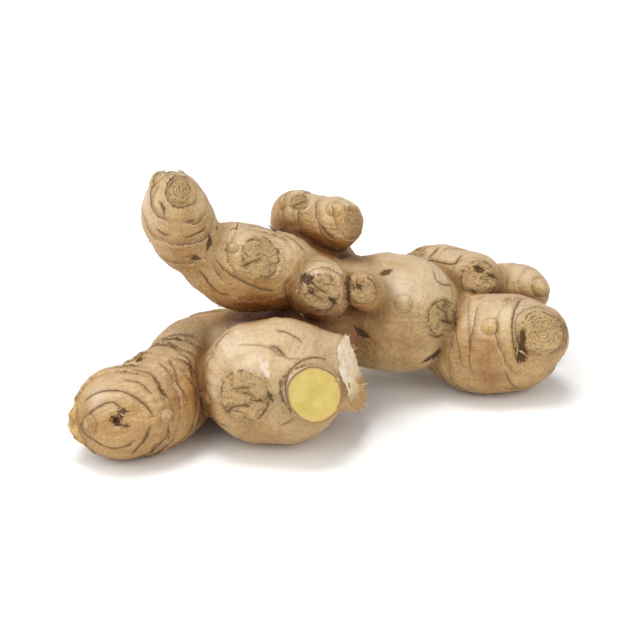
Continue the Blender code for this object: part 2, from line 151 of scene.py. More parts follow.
CRACKS_AND_SHADED_GAPS = [  # the way of each crack and dark patch in the picture, some of them painted shade in hollows and gaps, how dark it is, and its half width
    ([(229, 331), (214, 350), (205, 369), (199, 385)], 0.6, 0.2),
    ([(202, 361), (212, 349), (222, 337), (230, 330)], 0.6, 0.2),
    ([(240, 345), (257, 345), (270, 349), (278, 355), (290, 359), (298, 358)], 0.45, 0.19),
    ([(269, 346), (277, 348), (286, 356)], 0.9, 0.21),
    ([(278, 330), (290, 334), (301, 341)], 0.85, 0.19),
    ([(197, 392), (203, 409), (214, 420), (226, 427)], 0.85, 0.28),
    ([(282, 425), (289, 422), (293, 419)], 0.7, 0.2),
    ([(200, 272), (209, 284), (219, 293), (228, 296)], 1.0, 0.28),
    ([(217, 261), (224, 270), (236, 278), (250, 285), (262, 290), (273, 291)], 0.95, 0.2),
    ([(250, 226), (265, 226), (280, 231), (293, 239), (302, 250)], 0.75, 0.21),
    ([(290, 278), (285, 287), (287, 298), (292, 308)], 0.7, 0.28),
    ([(301, 276), (299, 290), (302, 305), (307, 312)], 0.6, 0.21),
    ([(417, 257), (426, 259), (434, 260), (442, 263), (450, 265), (456, 263), (461, 256)], 0.9, 0.28),
    ([(430, 256), (434, 252), (438, 249)], 0.9, 0.28),
    ([(157, 230), (161, 233), (168, 236)], 0.9, 0.28),
    ([(187, 238), (198, 234), (206, 228)], 0.9, 0.28),
    ([(160, 203), (163, 208), (164, 214)], 0.9, 0.4),
    ([(158, 186), (154, 194)], 0.5, 0.35),
    ([(189, 222), (193, 221)], 0.8, 0.28),
    ([(172, 206), (179, 208), (188, 206), (198, 202)], 0.5, 0.19),
    ([(210, 236), (211, 242), (208, 250)], 0.95, 0.9),
    ([(183, 259), (190, 257), (197, 256)], 0.6, 0.28),
    ([(195, 259), (197, 259)], 0.95, 1.0),
    ([(321, 226), (327, 233), (334, 239)], 0.8, 0.4),
    ([(293, 206), (299, 202), (305, 200)], 0.8, 0.28),
    ([(80, 426), (87, 415), (98, 407), (110, 402), (118, 405), (124, 412)], 0.9, 0.2),
    ([(80, 427), (83, 433), (93, 441), (103, 446), (113, 448), (127, 445), (133, 440)], 0.85, 0.24),
    ([(85, 400), (95, 393), (108, 390), (123, 391), (133, 396), (142, 402), (148, 408),
      (152, 415)], 0.85, 0.28),
    ([(149, 427), (145, 437), (137, 447), (132, 453)], 0.9, 0.38),
    ([(127, 380), (140, 383), (150, 393)], 0.7, 0.24),
    ([(133, 370), (148, 373), (157, 382), (162, 392), (167, 398)], 0.9, 0.24),
    ([(168, 428), (167, 438)], 0.8, 0.25),
    ([(155, 443), (151, 453)], 0.8, 0.3),
    ([(160, 365), (167, 372), (172, 384)], 0.7, 0.21),
    ([(170, 362), (175, 372), (176, 382), (180, 390), (185, 398)], 0.8, 0.24),
    ([(180, 355), (189, 362), (192, 372), (192, 384)], 0.9, 0.28),
    ([(153, 344), (163, 342), (173, 347), (177, 352)], 0.7, 0.24),
    ([(122, 411), (125, 411)], 0.95, 1.0),
    ([(115, 421), (117, 423)], 1.0, 1.5),
    ([(122, 425), (125, 425), (127, 425)], 0.9, 0.5),
    ([(456, 303), (455, 325), (458, 345), (462, 365)], 0.5, 0.21),
    ([(470, 300), (469, 330), (470, 360), (474, 378)], 0.35, 0.19),
    ([(505, 371), (512, 385), (518, 389)], 0.7, 0.24),
    ([(520, 300), (514, 312), (512, 330), (514, 350)], 0.85, 0.24),
    ([(523, 330), (522, 343), (520, 353)], 0.85, 1.0),
    ([(522, 351), (521, 358)], 0.95, 2.1),
    ([(503, 303), (508, 300)], 0.7, 0.35),
    ([(478, 300), (484, 298)], 0.5, 0.3),
    # painted shade in the hollow between the right body and the right finger
    ([(424, 361), (432, 357), (440, 350)], 0.95, 1.3),
    ([(443, 321), (447, 322), (452, 323)], 1.0, 0.35),
    ([(430, 335), (437, 337), (443, 335)], 0.85, 0.28),
    ([(437, 306), (446, 312), (450, 320)], 0.7, 0.25),
    ([(444, 303), (446, 305)], 0.45, 0.9),
    ([(380, 298), (377, 315), (382, 328)], 0.35, 0.21),
    # painted shade in a small gap on the right body
    ([(381, 274), (387, 272), (391, 270)], 0.9, 0.85),
    ([(356, 328), (361, 334), (368, 337)], 0.95, 1.0),
    ([(338, 257), (343, 256), (350, 255)], 0.6, 1.1),
    ([(433, 272), (436, 280), (443, 285), (452, 286)], 0.6, 0.3),
    ([(476, 268), (482, 270)], 0.9, 1.0),
    ([(488, 274), (494, 278)], 0.9, 0.5),
    ([(470, 290), (478, 294)], 0.8, 0.4),
    ([(289, 372), (286, 382), (286, 392), (288, 401), (291, 410)], 0.9, 0.26),
    ([(291, 370), (300, 362), (312, 358), (324, 359)], 0.8, 0.2),
    ([(235, 389), (242, 388), (249, 388)], 0.85, 0.21),
    ([(242, 393), (252, 396)], 0.75, 0.19),
    ([(251, 401), (263, 401)], 0.9, 0.24),
    ([(227, 412), (234, 407), (248, 406)], 0.95, 0.2),
    ([(269, 394), (271, 398)], 0.85, 0.8),
    ([(243, 266), (252, 262), (262, 258)], 0.9, 0.2),
    ([(304, 277), (309, 281)], 0.95, 1.9),
    ([(310, 292), (312, 294)], 0.9, 0.8),
    ([(332, 300), (334, 302)], 0.95, 0.9),
    ([(312, 282), (318, 288), (327, 293)], 0.9, 0.2),
    ([(307, 294), (315, 296), (322, 301)], 0.8, 0.2),
    ([(358, 285), (359, 287)], 0.8, 0.9),
    # painted shade in the gap on the left of the small stub
    ([(350, 276), (348, 288), (351, 303)], 0.95, 0.9),
]
YELLOW = [  # place on the skin and radius of each patch of young yellow skin
    ((-56.7, -5.6, 93.0), 3.6), ((-46.0, -14.5, 87.3), 2.6), ((5.4, 18.1, 72.2), 3.0),
    ((61.4, 4.7, 30.9), 3.2), ((66.9, 5.1, 31.1), 3.6), ((72.3, 6.0, 31.9), 3.4),
    ((83.4, 39.3, 30.8), 3.6), ((-60.0, 2.0, 26.0), 4.0), ((-52.4, -12.6, 32.4), 3.4),
    ((-45.0, 4.0, 30.0), 4.0), ((20.0, 44.0, 32.0), 3.0), ((45.0, 56.0, 30.0), 3.0),
]
# peeled skin on the round body, painted pale enough to stand for a glint
PEELED_AND_GLINT = [((-19.0, -39.6, 36.6), 2.2), ((-18.2, -41.6, 34.2), 1.7), ((-20.4, -38.4, 38.4), 1.7)]
PALE_PATCHES_AND_HIGHLIGHTS = [  # place and radius of each broad patch of bleached skin; those on the round body's upper left and front are painted highlights
    ((-31.0, -30.0, 38.0), 7.5), ((-58.0, -9.0, 84.0), 6.0), ((-2.0, -10.0, 57.0), 3.6),
    ((68.0, 6.0, 34.0), 6.0), ((-76.0, -44.0, 27.0), 4.0), ((-24.0, -38.0, 36.0), 4.0),
    ((10.0, -30.0, 34.0), 3.5), ((30.0, 8.0, 45.0), 6.0), ((-38.0, -34.0, 26.0), 5.5),
]
STAINS_AND_SHADE = [  # and of each patch that is browner than the rest: some real stains, some painted shade on lower and shaded sides
    ((55.0, 2.0, 24.0), 7.0), ((20.0, 1.5, 36.0), 8.0), ((62.0, 0.0, 14.0), 6.0),
    ((-52.0, -38.0, 20.0), 6.0), ((-26.0, -13.0, 48.0), 7.0), ((11.0, 1.0, 31.0), 6.0),
    ((-46.0, -12.0, 70.0), 5.0), ((-38.0, 8.0, 30.0), 8.0), ((30.0, 3.0, 28.0), 8.0),
    ((-21.5, -43.0, 11.0), 8.0), ((60.0, 0.5, 22.0), 7.0),
]
ROOTLETS = [  # place on the skin, direction, length and thickness of each dead rootlet that stands out
    ((-29.5, -2.0, 71.2), (0.35, 0.0, 1.0), 3.2, 0.42), ((-28.6, -1.0, 71.0), (-0.9, -0.2, 0.5), 2.6, 0.40),
    ((-30.8, -3.0, 70.6), (-0.6, 0.1, 0.8), 1.8, 0.45), ((-36.3, -6.3, 73.0), (0.7, -0.2, 0.7), 1.6, 0.5),
    ((-16.5, 3.0, 69.3), (-0.7, -0.1, 0.7), 2.8, 0.45), ((-15.5, 3.5, 69.2), (0.3, -0.5, 0.9), 1.5, 0.4),
    ((-63.7, -27.6, 32.0), (0.55, 0.1, 0.9), 3.8, 0.85), ((-43.1, -33.5, 22.0), (0.3, -0.9, 0.3), 1.5, 0.30),
    ((38.5, 5.0, 21.5), (0.4, -0.8, 0.3), 2.4, 0.25), ((42.6, 6.4, 18.0), (0.5, -0.8, -0.2), 2.0, 0.25),
]
PALE_HAIRS = [  # the same for pale threads of torn skin
    ((11.1, -28.5, 36.0), (0.9, -0.4, 0.2), 2.2, 0.16), ((11.0, -27.0, 36.2), (0.8, -0.3, 0.6), 1.5, 0.14),
    ((14.6, -34.1, 25.8), (0.5, -0.5, 0.8), 2.6, 0.18), ((-33.0, -17.1, 39.6), (-0.7, -0.2, 0.7), 1.8, 0.16),
    ((-8.0, -27.2, 44.0), (0.2, -0.4, 0.9), 1.4, 0.14), ((-7.6, -9.2, 51.4), (-0.3, -0.9, 0.2), 1.6, 0.16),
    ((-16.0, -44.6, 29.0), (0.2, -0.9, 0.2), 1.2, 0.14), ((72.0, 0.6, 23.0), (0.2, -0.9, 0.2), 1.8, 0.18),
]
SCALES = [  # points where each loose dry scale leaves the skin, the way it leans, and its reach
    ([(-83.3, -38.5, 24.0), (-85.6, -40.5, 18.5), (-84.6, -43.0, 12.5), (-81.6, -45.4, 9.0)],
     (-0.85, -0.25, -0.45), 3.9),
    ([(-64.9, -28.2, 32.4), (-63.6, -27.4, 32.6), (-62.2, -26.8, 32.7)], (0.2, 0.1, 0.95), 3.2),
    ([(-16.2, -44.9, 28.4), (-16.4, -45.4, 26.6), (-17.0, -45.4, 25.2)], (0.6, -0.7, 0.1), 1.0),
    ([(71.0, 2.2, 27.6), (71.4, 0.0, 24.0), (71.2, -1.0, 20.4)], (0.5, -0.8, 0.1), 1.3),
]
CUT_RIM = (0.35, 0.9, 2.0)  # how far inside the cut its edge is followed
STUBBLE = {"seed": 11, "count": 48, "length": (1.0, 3.4), "thickness": (0.35, 0.75)}
RING_FLAPS = {"seed": 23, "count": 70, "width": (1.6, 4.0), "reach": (0.7, 1.5)}
THREAD_ROOT = 0.8  # how far under the skin a thread starts
RING_WAY_REACH = 1.8
TORN_THREADS = {"seed": 5, "count": 60, "length": (0.7, 2.6), "thickness": (0.09, 0.20)}
FLOOR_REACH = 3.0
VIEW_ELEVATION = 25.0
VIEW_DISTANCE = 800.0
VIEW_TARGET = (0.0, 0.0, 35.5)
PICTURE_SIDE = 640
PIXEL = 0.3586  # what one pixel of the picture spans at the target
LOOK_START = 600.0  # how far from the eye a sight line's search for the skin begins
LOOK_STRIDE = 4.0
LOOK_STEPS = 90
SENSOR = 36.0
WORLD_LIGHT = 0.48
LAMPS = [  # name, watts, width and place
    ("key", 18.6, 0.90, (-0.20, 0.16, 1.90)),
    ("fill", 8.2, 1.40, (-0.72, -0.50, 0.72)),
    ("side", 2.3, 0.80, (0.70, -0.50, 0.50)),
]

CORK_RING_SPACING = 1.25
THREAD_FLOOR = SINK + 0.1  # no thread reaches under what the root lies on

# Colours, linear
SKIN_PALE = (0.66, 0.472, 0.238)
SKIN_DEEP = (0.45, 0.256, 0.074)
SKIN_WARM = (0.56, 0.345, 0.130)
SKIN_DULL = (0.36, 0.200, 0.057)
# pale dust, also used for painted highlights on tops and ring lips
DUST_AND_HIGHLIGHT = (0.75, 0.60, 0.430)
# ring and scar brown, also used for painted shade under ring edges and in creases
RING_BROWN_AND_SHADE = (0.265, 0.134, 0.036)
# near-black for dark patches, and painted shade in hollows and gaps
DARK_PATCH_AND_SHADE_BROWN = (0.048, 0.019, 0.006)
EDGE_BROWN = (0.142, 0.064, 0.017)
# painted shade for the creases between lobes
CREVICE_SHADE = (0.60, 0.40, 0.20)
# browner for real stains, and painted shade on shaded sides
STAIN_AND_SHADE_TINT = (0.74, 0.60, 0.43)
# browner lobes, also painted shade on the back segment
LOBE_BROWN_AND_SHADE = (0.93, 0.83, 0.62)
# deeper painted shade for the most shut-in creases
DEEP_CREVICE_SHADE = (0.50, 0.36, 0.24)
# painted shade for the undersides
UNDERSIDE_SHADE = (0.84, 0.72, 0.54)
YOUNG = (0.66, 0.45, 0.12)
PEEL_AND_GLINT_PALE = (0.86, 0.76, 0.62)
CORK_PALE = (0.65, 0.428, 0.190)
CORK_DARK = (0.32, 0.176, 0.058)
FLESH = (0.57, 0.425, 0.098)
FLESH_PALE = (0.64, 0.505, 0.160)
FLESH_DEEP = (0.58, 0.38, 0.07)
FLESH_EDGE = (0.62, 0.44, 0.13)
TORN_PALE = (0.95, 0.83, 0.64)
TORN_WARM = (0.86, 0.67, 0.43)
ROOT_DARK = (0.085, 0.045, 0.022)
ROOT_PALE = (0.32, 0.19, 0.09)
SCALE_DARK = (0.33, 0.17, 0.055)
SCALE_PALE = (0.62, 0.42, 0.18)
HAIR_PALE = (0.85, 0.75, 0.58)
FLOOR_DULL = (0.94, 0.94, 0.94)
FLOOR_PALE = (0.96, 0.96, 0.96)


def smooth_spine(stations):
    """Points and radii on a smooth curve through a lobe's stations, as an array of (x, y, z, r)."""
    rows = np.array(stations, float)
    ends = np.vstack((2 * rows[0] - rows[1], rows, 2 * rows[-1] - rows[-2]))
    curve = []
    for i in range(len(rows) - 1):
        a, b, c, d = ends[i:i + 4]
        for t in np.linspace(0, 1, STATIONS, endpoint=False):
            curve.append(0.5 * (2 * b + (c - a) * t + (2 * a - 5 * b + 4 * c - d) * t ** 2
                                + (3 * b - a - 3 * c + d) * t ** 3))
    curve.append(rows[-1])
    return np.array(curve)


SPINES = {name: smooth_spine(stations) for name, stations in LOBES.items()}


def length(rows):
    return np.linalg.norm(rows, axis=1)


def off_line(points, start, end):
    """How far on the way from start to end the place nearest to each point is, and the offset from it."""
    step = end[:3] - start[:3]
    share = np.clip((points - start[:3]) @ step / (step @ step), 0, 1)
    return share, points - start[:3] - share[:, None] * step


def lobe_distance(points, spine):
    """Signed distance from points to one lobe, and the unit vectors away from its middle."""
    best = np.full(len(points), np.inf)
    away = np.zeros_like(points)
    for a, b in zip(spine[:-1], spine[1:]):
        t, offset = off_line(points, a, b)
        reach = length(offset)
        distance = reach - a[3] - t * (b[3] - a[3])
        closer = distance < best
        best[closer] = distance[closer]
        away[closer] = offset[closer] / np.maximum(reach[closer], 1e-6)[:, None]
    return best, away


def skin_field(points):
    """Signed distance to the joined lobes, its gradient, and each lobe's share at every point."""
    names = list(SPINES)
    distance = np.full((len(names), len(points)), 99.0)
    away = np.zeros((len(names), len(points), 3))
    for row, name in enumerate(names):
        spine = SPINES[name]
        centre = spine[:, :3].mean(axis=0)
        reach = (length(spine[:, :3] - centre) + spine[:, 3]).max() + 6 * BLEND
        near = length(points - centre) < reach
        distance[row, near], away[row, near] = lobe_distance(points[near], spine)
    lowest = distance.min(axis=0)
    share = np.exp(-(distance - lowest) / BLEND)
    total = share.sum(axis=0)
    share /= total
    return lowest - BLEND * np.log(total), np.einsum("lp,lpk->pk", share, away), share


def settle(points, rounds=5):
    """Moves points onto the skin and returns them with their outward normals and lobe shares."""
    for _ in range(rounds):
        distance, slope, share = skin_field(points)
        steep = np.maximum((slope ** 2).sum(axis=1), 0.25)
        points = points - (distance / steep)[:, None] * slope
    distance, slope, share = skin_field(points)
    return points, slope / length(slope)[:, None], share


def view_axes():
    """The camera's ways right, up and ahead."""
    elevation = math.radians(VIEW_ELEVATION)
    up = np.array((0, math.sin(elevation), math.cos(elevation)))
    ahead = np.array((0, math.cos(elevation), -math.sin(elevation)))
    return np.array((1, 0, 0)), up, ahead


def seen_at(places):
    """Where the sight lines through places in the picture, in pixels, meet the lobes."""
    right, up, ahead = view_axes()
    across, down = (np.array(places, float).T - PICTURE_SIDE / 2) * PIXEL
    lines = VIEW_DISTANCE * ahead + across[:, None] * right - down[:, None] * up
    lines /= length(lines)[:, None]
    points = np.array(VIEW_TARGET) - VIEW_DISTANCE * ahead + LOOK_START * lines
    for _ in range(LOOK_STEPS):
        distance, _, _ = skin_field(points)
        points = points + np.minimum(0.8 * distance, LOOK_STRIDE)[:, None] * lines
    return points


def noise(points, size, seed):
    """Smooth noise from -1 to 1 whose swells are about size millimetres across."""
    place = points / size + 7.31 * seed
    cell = np.floor(place).astype(np.int64)
    ease = place - cell
    ease = ease * ease * (3 - 2 * ease)
    total = np.zeros(len(points))
    for corner in itertools.product((0, 1), repeat=3):
        x, y, z = (cell + corner).T
        mixed = (x * 73856093) ^ (y * 19349663) ^ (z * 83492791) ^ (seed * 2654435)
        mixed = (mixed * 1103515245 + 12345) & 0x7FFFFFFF
        mixed = ((mixed >> 8) * 1103515245 + 12345) & 0x7FFFFFFF
        weight = np.prod(np.where(corner, ease, 1 - ease), axis=1)
        total += weight * (mixed / 0x3FFFFFFF - 1)
    return total


def hump(distance, width):
    return np.exp(-(distance / width) ** 2)


def fibre_direction(points, share):
    """A vector that stays the same along each lobe and turns round it, for the skin's fibres."""
    turned = np.zeros_like(points)
    for row, (name, spine) in enumerate(SPINES.items()):
        near = share[row] > 0.01
        place = points[near]
        out = np.zeros_like(place)
        best = np.full(len(place), np.inf)
        for a, b in zip(spine[:-1], spine[1:]):
            _, offset = off_line(place, a, b)
            depth = length(offset) - a[3]
            along = (b - a)[:3] / np.linalg.norm((b - a)[:3])
            if name in ROUND_LOBES:
                along = spine[:, :3].mean(axis=0) - np.array(RINGS[name][0])
                along /= np.linalg.norm(along)
            closer = depth < best
            best[closer] = depth[closer]
            across = offset - (offset @ along)[:, None] * along
            out[closer] = across[closer]
        out /= np.maximum(length(out), 1e-6)[:, None]
        turned[near] += share[row, near, None] * out * spine[:, 3].mean()
    return turned


def disc_offset(points, normals, place):
    """Height over the skin's tangent plane at a place, and the offset from the place along it."""
    centre, upright, _ = settle(np.array([place], float))
    offset = points - centre[0]
    height = offset @ upright[0]
    offset = offset - height[:, None] * upright[0]
    offset[(np.abs(height) > 4.5) | (normals @ upright[0] < 0.35)] = 99.0
    return height, offset


def ring_places(points, share):
    """Where each point lies between its lobe's growth rings: a ring number whose whole values are the
    rings, the rings' spacing there, the rings' height and their darkness."""
    waver = RING_WOBBLE * noise(points, 11.0, 3) + RING_RAG * noise(points, 2.6, 5)
    main = share.argmax(axis=0)
    inner = np.clip(2 * share.max(axis=0) - 1, 0, 1)
    number = np.full(len(points), END_STRETCH)
    spacing = np.full(len(points), 9.0)
    height = np.zeros(len(points))
    dark = np.zeros(len(points))
    for row, name in enumerate(SPINES):
        if name not in RINGS:
            continue
        mine = np.flatnonzero(main == row)
        pole, radii = RINGS[name]
        reach = length(points[mine] - np.array(pole)) + waver[mine]
        knots = np.array((0.0, *radii, radii[-1] + 9.0))
        marks = np.array((-END_STRETCH, *range(len(radii)), len(radii) - 1 + END_STRETCH))
        number[mine] = np.interp(reach, knots, marks)
        piece = np.clip(np.searchsorted(knots, reach) - 1, 0, len(radii))
        spacing[mine] = (np.diff(knots) / np.diff(marks))[piece]
        tip = PLAIN_TIP.get(name, -9.0)
        shown = np.clip(number[mine] - tip + 0.5, 0.12, 1) if tip > 0 else 1.0
        height[mine] = RING_LOOKS[name][0] * shown
        dark[mine] = RING_LOOKS[name][1] * shown
    height *= inner * np.clip(0.75 + 0.7 * noise(points, 10.0, 4), 0.2, 1.4)
    dark *= inner * np.clip(0.70 + 1.4 * noise(points, 8.5, 9), 0, 1.35)
    return number, spacing, height, dark


def ring_relief(points, fibre, number, spacing, height):
    """Each ring is the torn edge of a leaf scale: a step up away from the growing point, then a slope."""
    past = number - np.floor(number)
    signed = ((number + 0.5) % 1 - 0.5) * spacing
    slope = (1 - past) ** 1.6
    pucker = noise(fibre, 1.7, 44) * hump(signed - 1.0, 1.7)
    return height * (slope - 0.45 * hump(signed + 0.5, 0.55) + 0.32 * pucker)


def scar_relief(points, normals):
    """Round scars of dried shoots: a flat disc a little under the skin, with a raised rim."""
    rise = np.zeros(len(points))
    cork = np.zeros(len(points))
    nearest = np.full(len(points), 2.0)
    offsets = np.zeros_like(points)
    kind = np.zeros_like(points)
    uneven = 0.5 * noise(points, 3.5, 14)
    rough = 0.22 * noise(points, 1.9, 15) + 0.18 * noise(points, 3.2, 16)
    for place, radius, depth, rim, pale, ringed in CORK_SCARS:
        height, offset = disc_offset(points, normals, place)
        across = length(offset) + uneven
        inside = np.clip((radius - across) / 0.9 + 0.5, 0, 1)
        ripple = 0.24 * ringed * np.cos(across * 5.0) + (1 - 0.5 * ringed) * rough
        rise += inside * (ripple - depth - height) + rim * hump(across - radius - 0.9, 0.8)
        rise -= 0.45 * hump(across - radius + 0.3, 0.5)
        cork = np.maximum(cork, inside)
        closer = across / radius < nearest
        nearest[closer] = (across / radius)[closer]
        offsets[closer] = offset[closer]
        kind[closer] = (pale, ringed, radius)
    return rise, cork, nearest, offsets, kind


def bud_relief(points, normals):
    """Sleeping buds: a low dome with a smaller one on top, in a shallow ring."""
    rise = np.zeros(len(points))
    nearest = np.full(len(points), 3.0)
    uneven = 0.25 * noise(points, 2.2, 17)
    for place, radius, tall in BUDS:
        _, offset = disc_offset(points, normals, place)
        across = length(offset) + uneven
        dome = np.sqrt(np.clip(1 - (across / radius) ** 2, 0, 1))
        tip = np.sqrt(np.clip(1 - (across / (0.45 * radius)) ** 2, 0, 1))
        rise += 0.75 * tall * dome + 0.35 * tall * tip - 0.35 * hump(across - radius - 0.4, 0.6)
        nearest = np.minimum(nearest, across / radius)
    place, radius, depth = PIT
    _, offset = disc_offset(points, normals, place)
    across = length(offset) + 2 * uneven
    return rise - depth * hump(across, radius) + 0.4 * hump(across - 2 * radius, 0.8), nearest


def crack_places(points):
    """The nearest of the cracks, dark patches and painted shaded gaps: how far to which side of it a point
    lies, how far outside it, its half width and its darkness."""
    side = np.full(len(points), 9.0)
    width = np.zeros(len(points))
    dark = np.zeros(len(points))
    best = np.full(len(points), 9.0)
    seen = iter(seen_at([place for way, _, _ in CRACKS_AND_SHADED_GAPS for place in way]))
    for way, strength, half_width in CRACKS_AND_SHADED_GAPS:
        path, upright, _ = settle(smooth_spine([next(seen) for _ in way]))
        margin = 3.0 + half_width
        low, high = path.min(axis=0) - margin, path.max(axis=0) + margin
        near = np.flatnonzero(((points > low) & (points < high)).all(axis=1))
        for i, (a, b) in enumerate(zip(path[:-1], path[1:])):
            t, offset = off_line(points[near], a, b)
            here = length(offset)
            along = np.abs((i + t) / (len(path) - 1) * 2 - 1)
            wide = half_width * np.sqrt(np.clip(1.02 - along ** 3, 0, 1))
            closer = here - wide < best[near]
            chosen = near[closer]
            best[chosen] = (here - wide)[closer]
            side[chosen] = (here * np.sign(offset @ np.cross(b - a, upright[i])))[closer]
            width[chosen] = wide[closer]
            dark[chosen] = strength
    return side, best, width, dark


def below_cut(points):
    """How far under the plane of the clean cut the skin round it lies, in millimetres."""
    facing = np.array(CUT["facing"], float)
    facing /= np.linalg.norm(facing)
    offset = points - np.array(CUT["at"])
    height = offset @ facing
    across = length(offset - height[:, None] * facing)
    return np.where(across < CUT["radius"] + 3, -height, 9.0)


def patches(points, normals, table):
    """Soft round patches, from 0 to 1, where a table places them."""
    total = np.zeros(len(points))
    uneven = 0.9 * noise(points, 2.5, 31)
    for place, radius in table:
        _, offset = disc_offset(points, normals, place)
        total = np.maximum(total, hump(length(offset) + uneven, radius))
    return total


def crevice_depth(points, normals):
    """How shut in each point is by the lobes round it, from 0 in the open to 1."""
    open_share = np.zeros(len(points))
    for reach in CREVICE_REACH:
        distance, _, _ = skin_field(points + reach * normals)
        open_share += np.clip(distance / reach, 0, 1) / len(CREVICE_REACH)
    return 1 - open_share


def new_object(name, data):
    made = bpy.data.objects.new(name, data)
    bpy.context.scene.collection.objects.link(made)
    return made


def as_mesh(name, bm, *materials):
    mesh = bpy.data.meshes.new(name)
    bm.to_mesh(mesh)
    bm.free()
    for material in materials:
        mesh.materials.append(material)
    return mesh


def lobe_mesh():
    """A closed mesh round all the lobes: a ball at each step of each spine, melted together."""
    bm = bmesh.new()
    for spine in SPINES.values():
        for x, y, z, radius in spine:
            bmesh.ops.create_icosphere(bm, subdivisions=3, radius=radius * MM,
                                       matrix=Matrix.Translation(Vector((x, y, z)) * MM))
    balls = new_object("balls", as_mesh("balls", bm))
    melt = balls.modifiers.new("melt", "REMESH")
    melt.mode = "VOXEL"
    melt.voxel_size = VOXEL * MM
    melted = evaluated_mesh(balls)
    bpy.data.objects.remove(balls)
    return melted


def evaluated_mesh(thing):
    depsgraph = bpy.context.evaluated_depsgraph_get()
    return bpy.data.meshes.new_from_object(thing.evaluated_get(depsgraph), depsgraph=depsgraph)


def store(mesh, name, values):
    kind = "FLOAT" if values.ndim == 1 else "FLOAT_VECTOR"
    attribute = mesh.attributes.new(name, kind, "POINT")
    attribute.data.foreach_set("value" if values.ndim == 1 else "vector", values.astype(np.float32).ravel())


def grow_skin(mesh):
    """Moves the mesh's vertices onto the lobes' skin, raises its relief and stores what its colours need."""
    points = np.empty(len(mesh.vertices) * 3)
    mesh.vertices.foreach_get("co", points)
    points, normals, share = settle(points.reshape(-1, 3) / MM)
    fibre = fibre_direction(points, share)
    number, spacing, ring_height, ring_dark = ring_places(points, share)
    scars, cork, cork_reach, cork_offset, cork_kind = scar_relief(points, normals)
    buds, bud_reach = bud_relief(points, normals)
    side, crack_away, width, crack_dark = crack_places(points)
    rise = ring_relief(points, fibre, number, spacing, ring_height) * (1 - cork) + scars + buds
    rise -= (0.30 + 0.25 * np.minimum(width, 1.2)) * crack_dark * hump(side, np.maximum(width, 0.5))
    for seed, (size, height) in enumerate(LUMPS):
        rise += height * noise(points, size, seed)
    rise += 0.20 * noise(fibre, 1.8, 41) + 0.20 * noise(points, 3.2, 42) + 0.07 * noise(points, 1.3, 43)
    looks = {
        "fibre": fibre, "ring_number": number, "ring_spacing": spacing, "ring_dark": ring_dark,
        "crack_side": side, "crack_away": crack_away, "crack_width": width, "crack_dark": crack_dark,
        "cork": cork, "cork_reach": cork_reach, "cork_offset": cork_offset, "cork_kind": cork_kind,
        "bud_reach": bud_reach, "below_cut": below_cut(points), "crevice": crevice_depth(points, normals),
        "joint": np.clip(2 * (1 - share.max(axis=0)), 0, 1),
        "tint": sum(share[row] * LOBE_TINT.get(name, 0.0) for row, name in enumerate(SPINES)),
    }
    for name, table in {"young": YELLOW, "bare": PEELED_AND_GLINT, "bleached": PALE_PATCHES_AND_HIGHLIGHTS, "stained": STAINS_AND_SHADE}.items():
        looks[name] = patches(points, normals, table)
    for name, values in looks.items():
        store(mesh, name, values)

    points += rise[:, None] * normals
    points -= SHIFT
    mesh.vertices.foreach_set("co", (points * MM).ravel())
    mesh.update()


def place_of(point):
    """A table point in the frame, in metres."""
    return (Vector(point) - Vector(SHIFT)) * MM


def facing_frame(point, facing):
    turn = Vector((0, 0, 1)).rotation_difference(Vector(facing))
    return Matrix.Translation(place_of(point)) @ turn.to_matrix().to_4x4()


def as_cutter(name, bm, material, matrix=Matrix.Identity(4)):
    cutter = new_object(name, as_mesh(name, bm, material))
    cutter.matrix_world = matrix
    return cutter


def knife(material):
    """The clean cut: a drum whose near face is the cut."""
    bm = bmesh.new()
    bmesh.ops.create_cone(bm, cap_ends=True, segments=64, radius1=CUT["radius"] * MM,
                          radius2=CUT["radius"] * MM, depth=KNIFE_DEPTH * MM,
                          matrix=Matrix.Translation((0, 0, KNIFE_DEPTH * MM / 2)))
    return as_cutter("knife", bm, material, facing_frame(CUT["at"], CUT["facing"]))


def snapped_off(material):
    """What broke away: a block whose near face is torn and uneven."""
    bm = bmesh.new()
    bmesh.ops.create_grid(bm, x_segments=70, y_segments=70, size=SNAP["side"] / 2 * MM)
    torn = np.array([v.co for v in bm.verts]) / MM
    heights = SNAP["roughness"] * (noise(torn, 9.0, 7) + 0.5 * noise(torn, 4.0, 8))
    heights += 0.35 * noise(torn, 1.6, 51) + 0.2 * noise(torn, 0.8, 52)
    for vertex, height in zip(bm.verts, heights):
        vertex.co.z = height * MM
    grown = bmesh.ops.extrude_face_region(bm, geom=list(bm.faces))
    for vertex in grown["geom"]:
        if isinstance(vertex, bmesh.types.BMVert):
            vertex.co.z = SNAP_DEPTH * MM
    bmesh.ops.recalc_face_normals(bm, faces=bm.faces)
    return as_cutter("snapped_off", bm, material, facing_frame(SNAP["at"], SNAP["facing"]))


def resting_plane(material):
    """Presses the lowest lobes flat where the root lies, at Z = 0."""
    width, depth, thickness = Vector(REST_SLAB) * MM
    bm = bmesh.new()
    bmesh.ops.create_cube(bm, size=1, matrix=Matrix.Translation((0, 0, -thickness / 2))
                          @ Matrix.Diagonal((width, depth, thickness, 1)))
    return as_cutter("resting_plane", bm, material)


def make_rhizome(skin, flesh, torn):
    mesh = lobe_mesh()
    mesh.materials.clear()
    mesh.materials.append(skin)
    grow_skin(mesh)
    whole = new_object("whole_root", mesh)
    cutters = [knife(flesh), snapped_off(torn), resting_plane(skin)]
    for cutter in cutters:
        cut = whole.modifiers.new(cutter.name, "BOOLEAN")
        cut.operation = "DIFFERENCE"
        cut.solver = "EXACT"
        cut.material_mode = "TRANSFER"
        cut.object = cutter
    finished = evaluated_mesh(whole)
    for used in (whole, *cutters):
        bpy.data.objects.remove(used)
    finished.name = "rhizome_skin"
    follow_cut_edge(finished, flesh)
    finished.shade_smooth()
    finished.set_sharp_from_angle(angle=math.radians(60))
    return new_object("rhizome_skin", finished)


